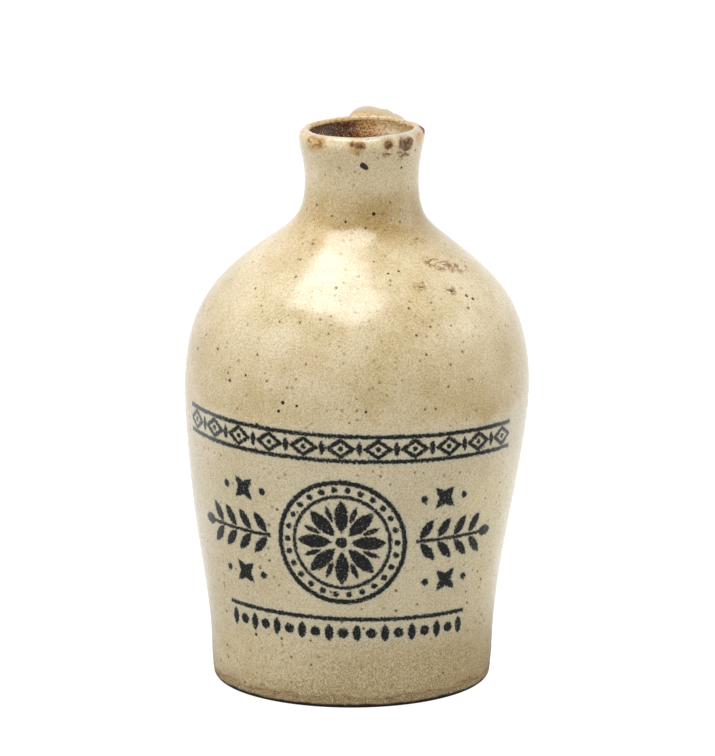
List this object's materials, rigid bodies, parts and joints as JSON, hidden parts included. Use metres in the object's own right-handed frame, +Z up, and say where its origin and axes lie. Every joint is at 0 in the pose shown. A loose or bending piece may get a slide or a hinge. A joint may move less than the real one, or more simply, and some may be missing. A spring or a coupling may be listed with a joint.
{
  "type": "stoneware jug",
  "caption": "Miniature stoneware jug with a narrow open neck, rounded lip, swelling belly and a small strap handle behind the neck.",
  "frame": {"origin": "centre of the foot, on the surface that the jug stands on", "axes": "+Z up along the jug's axis, +Y towards the handle, so the printed front faces -Y"},
  "size_m": [0.055, 0.055, 0.0891],
  "materials": {
    "bare_clay": "matt fired stoneware clay",
    "outer_glaze": "pale gloss glaze with iron specks and a dark underglaze print",
    "liner_glaze": "brown slip glaze, satin"
  },
  "bodies": {
    "root": {"vessel": "bare_clay", "outer_glaze": "outer_glaze", "inner_glaze": "liner_glaze", "handle": "bare_clay", "handle_glaze": "outer_glaze", "upper_luting": "outer_glaze", "lower_luting": "outer_glaze"}
  },
  "joints": []
}
